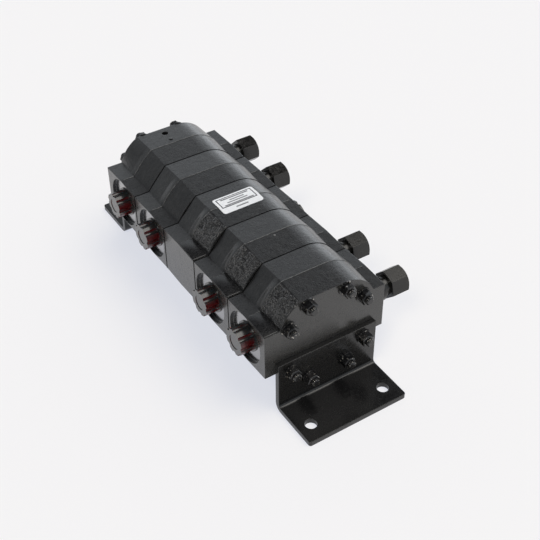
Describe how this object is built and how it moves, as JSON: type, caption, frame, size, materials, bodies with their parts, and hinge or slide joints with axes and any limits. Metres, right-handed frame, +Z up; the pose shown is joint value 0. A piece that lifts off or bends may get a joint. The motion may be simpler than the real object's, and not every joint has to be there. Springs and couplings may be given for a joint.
{
  "type": "hydraulic gear flow divider with relief valves",
  "caption": "Rotary gear flow divider that splits pump flow into equal streams, with an overflow relief valve on each gear section and angle bracket feet.",
  "frame": {"origin": "middle of the four foot holes, on the mounting plane under the two brackets", "axes": "+X from the outlet ports to the relief valves, +Y along the castings from the front end to the rear end, +Z up"},
  "size_m": [0.2202, 0.5148, 0.148],
  "materials": {
    "cast_body": "satin black paint over a sand-cast iron skin, smoother on the machined faces",
    "bracket_paint": "gloss black paint on bent steel plate",
    "black_fastener": "gloss black paint over zinc-plated steel",
    "valve_steel": "gloss black paint on turned hexagon steel",
    "hardened_steel": "ground and hardened alloy steel",
    "bright_steel": "bright plated steel",
    "spring_steel": "oil-tempered spring wire",
    "bearing_alloy": "machined aluminium bearing block",
    "bronze": "sintered bronze bush",
    "seal_rubber": "black nitrile rubber",
    "plug_plastic": "dark red moulded polyethylene",
    "label_stock": "white polyester label"
  },
  "bodies": {
    "casing": {"bearing_blocks_1": "bearing_alloy", "bearing_blocks_2": "bearing_alloy", "bearing_blocks_3": "bearing_alloy", "bearing_blocks_4": "bearing_alloy", "chamber_seals": "seal_rubber", "dowels": "hardened_steel", "drive_screw": "bright_steel", "front_bracket": "bracket_paint", "gallery_seals": "seal_rubber", "gear_section_1": "cast_body", "gear_section_2": "cast_body", "gear_section_3": "cast_body", "gear_section_4": "cast_body", "inlet_plug": "plug_plastic", "inlet_section": "cast_body", "journal_bushes_1": "bronze", "journal_bushes_2": "bronze", "journal_bushes_3": "bronze", "journal_bushes_4": "bronze", "label_plate": "label_stock", "nuts": "black_fastener", "port_plug_1": "plug_plastic", "port_plug_2": "plug_plastic", "port_plug_3": "plug_plastic", "port_plug_4": "plug_plastic", "rear_bracket": "bracket_paint", "relief_body_1": "valve_steel", "relief_body_2": "valve_steel", "relief_body_3": "valve_steel", "relief_body_4": "valve_steel", "relief_cap_1": "valve_steel", "relief_cap_2": "valve_steel", "relief_cap_3": "valve_steel", "relief_cap_4": "valve_steel", "relief_seats": "hardened_steel", "relief_spring_1": "spring_steel", "relief_spring_2": "spring_steel", "relief_spring_3": "spring_steel", "relief_spring_4": "spring_steel", "tie_studs": "black_fastener", "washers": "black_fastener"},
    "drive_train": {"drive_gear_1": "hardened_steel", "drive_gear_2": "hardened_steel", "drive_gear_3": "hardened_steel", "drive_gear_4": "hardened_steel", "front_quill": "hardened_steel", "middle_quill": "hardened_steel", "rear_quill": "hardened_steel"},
    "idler_1": {"idler_gear_1": "hardened_steel"},
    "idler_2": {"idler_gear_2": "hardened_steel"},
    "idler_3": {"idler_gear_3": "hardened_steel"},
    "idler_4": {"idler_gear_4": "hardened_steel"},
    "poppet_1": {"relief_poppet_1": "hardened_steel"},
    "poppet_2": {"relief_poppet_2": "hardened_steel"},
    "poppet_3": {"relief_poppet_3": "hardened_steel"},
    "poppet_4": {"relief_poppet_4": "hardened_steel"},
    "adjuster_1": {"relief_adjuster_1": "hardened_steel"},
    "adjuster_2": {"relief_adjuster_2": "hardened_steel"},
    "adjuster_3": {"relief_adjuster_3": "hardened_steel"},
    "adjuster_4": {"relief_adjuster_4": "hardened_steel"}
  },
  "joints": [
    {"name": "drive_spin", "type": "hinge", "parent": "casing", "child": "drive_train", "pos_m": [0, 0, 0.1078], "axis": [0, 1, 0], "continuous": true},
    {"name": "idler_1_spin", "type": "hinge", "parent": "casing", "child": "idler_1", "pos_m": [0, -0.1397, 0.0628], "axis": [0, 1, 0], "continuous": true},
    {"name": "idler_2_spin", "type": "hinge", "parent": "casing", "child": "idler_2", "pos_m": [0, -0.0635, 0.0628], "axis": [0, 1, 0], "continuous": true},
    {"name": "idler_3_spin", "type": "hinge", "parent": "casing", "child": "idler_3", "pos_m": [0, 0.0635, 0.0628], "axis": [0, 1, 0], "continuous": true},
    {"name": "idler_4_spin", "type": "hinge", "parent": "casing", "child": "idler_4", "pos_m": [0, 0.1397, 0.0628], "axis": [0, 1, 0], "continuous": true},
    {"name": "poppet_1_lift", "type": "slide", "parent": "casing", "child": "poppet_1", "axis": [1, 0, 0], "range_m": [0, 0.0025], "stiffness_N_per_m": 5000, "springref_m": -0.004, "deforming": ["relief_spring_1"]},
    {"name": "poppet_2_lift", "type": "slide", "parent": "casing", "child": "poppet_2", "axis": [1, 0, 0], "range_m": [0, 0.0025], "stiffness_N_per_m": 5000, "springref_m": -0.004, "deforming": ["relief_spring_2"]},
    {"name": "poppet_3_lift", "type": "slide", "parent": "casing", "child": "poppet_3", "axis": [1, 0, 0], "range_m": [0, 0.0025], "stiffness_N_per_m": 5000, "springref_m": -0.004, "deforming": ["relief_spring_3"]},
    {"name": "poppet_4_lift", "type": "slide", "parent": "casing", "child": "poppet_4", "axis": [1, 0, 0], "range_m": [0, 0.0025], "stiffness_N_per_m": 5000, "springref_m": -0.004, "deforming": ["relief_spring_4"]},
    {"name": "adjuster_1_travel", "type": "slide", "parent": "casing", "child": "adjuster_1", "axis": [1, 0, 0], "range_m": [-0.002, 0.002]},
    {"name": "adjuster_2_travel", "type": "slide", "parent": "casing", "child": "adjuster_2", "axis": [1, 0, 0], "range_m": [-0.002, 0.002]},
    {"name": "adjuster_3_travel", "type": "slide", "parent": "casing", "child": "adjuster_3", "axis": [1, 0, 0], "range_m": [-0.002, 0.002]},
    {"name": "adjuster_4_travel", "type": "slide", "parent": "casing", "child": "adjuster_4", "axis": [1, 0, 0], "range_m": [-0.002, 0.002]}
  ],
  "couplings": [
    {"joint": "idler_1_spin", "follows": "drive_spin", "ratio": -1},
    {"joint": "idler_2_spin", "follows": "drive_spin", "ratio": -1},
    {"joint": "idler_3_spin", "follows": "drive_spin", "ratio": -1},
    {"joint": "idler_4_spin", "follows": "drive_spin", "ratio": -1}
  ]
}
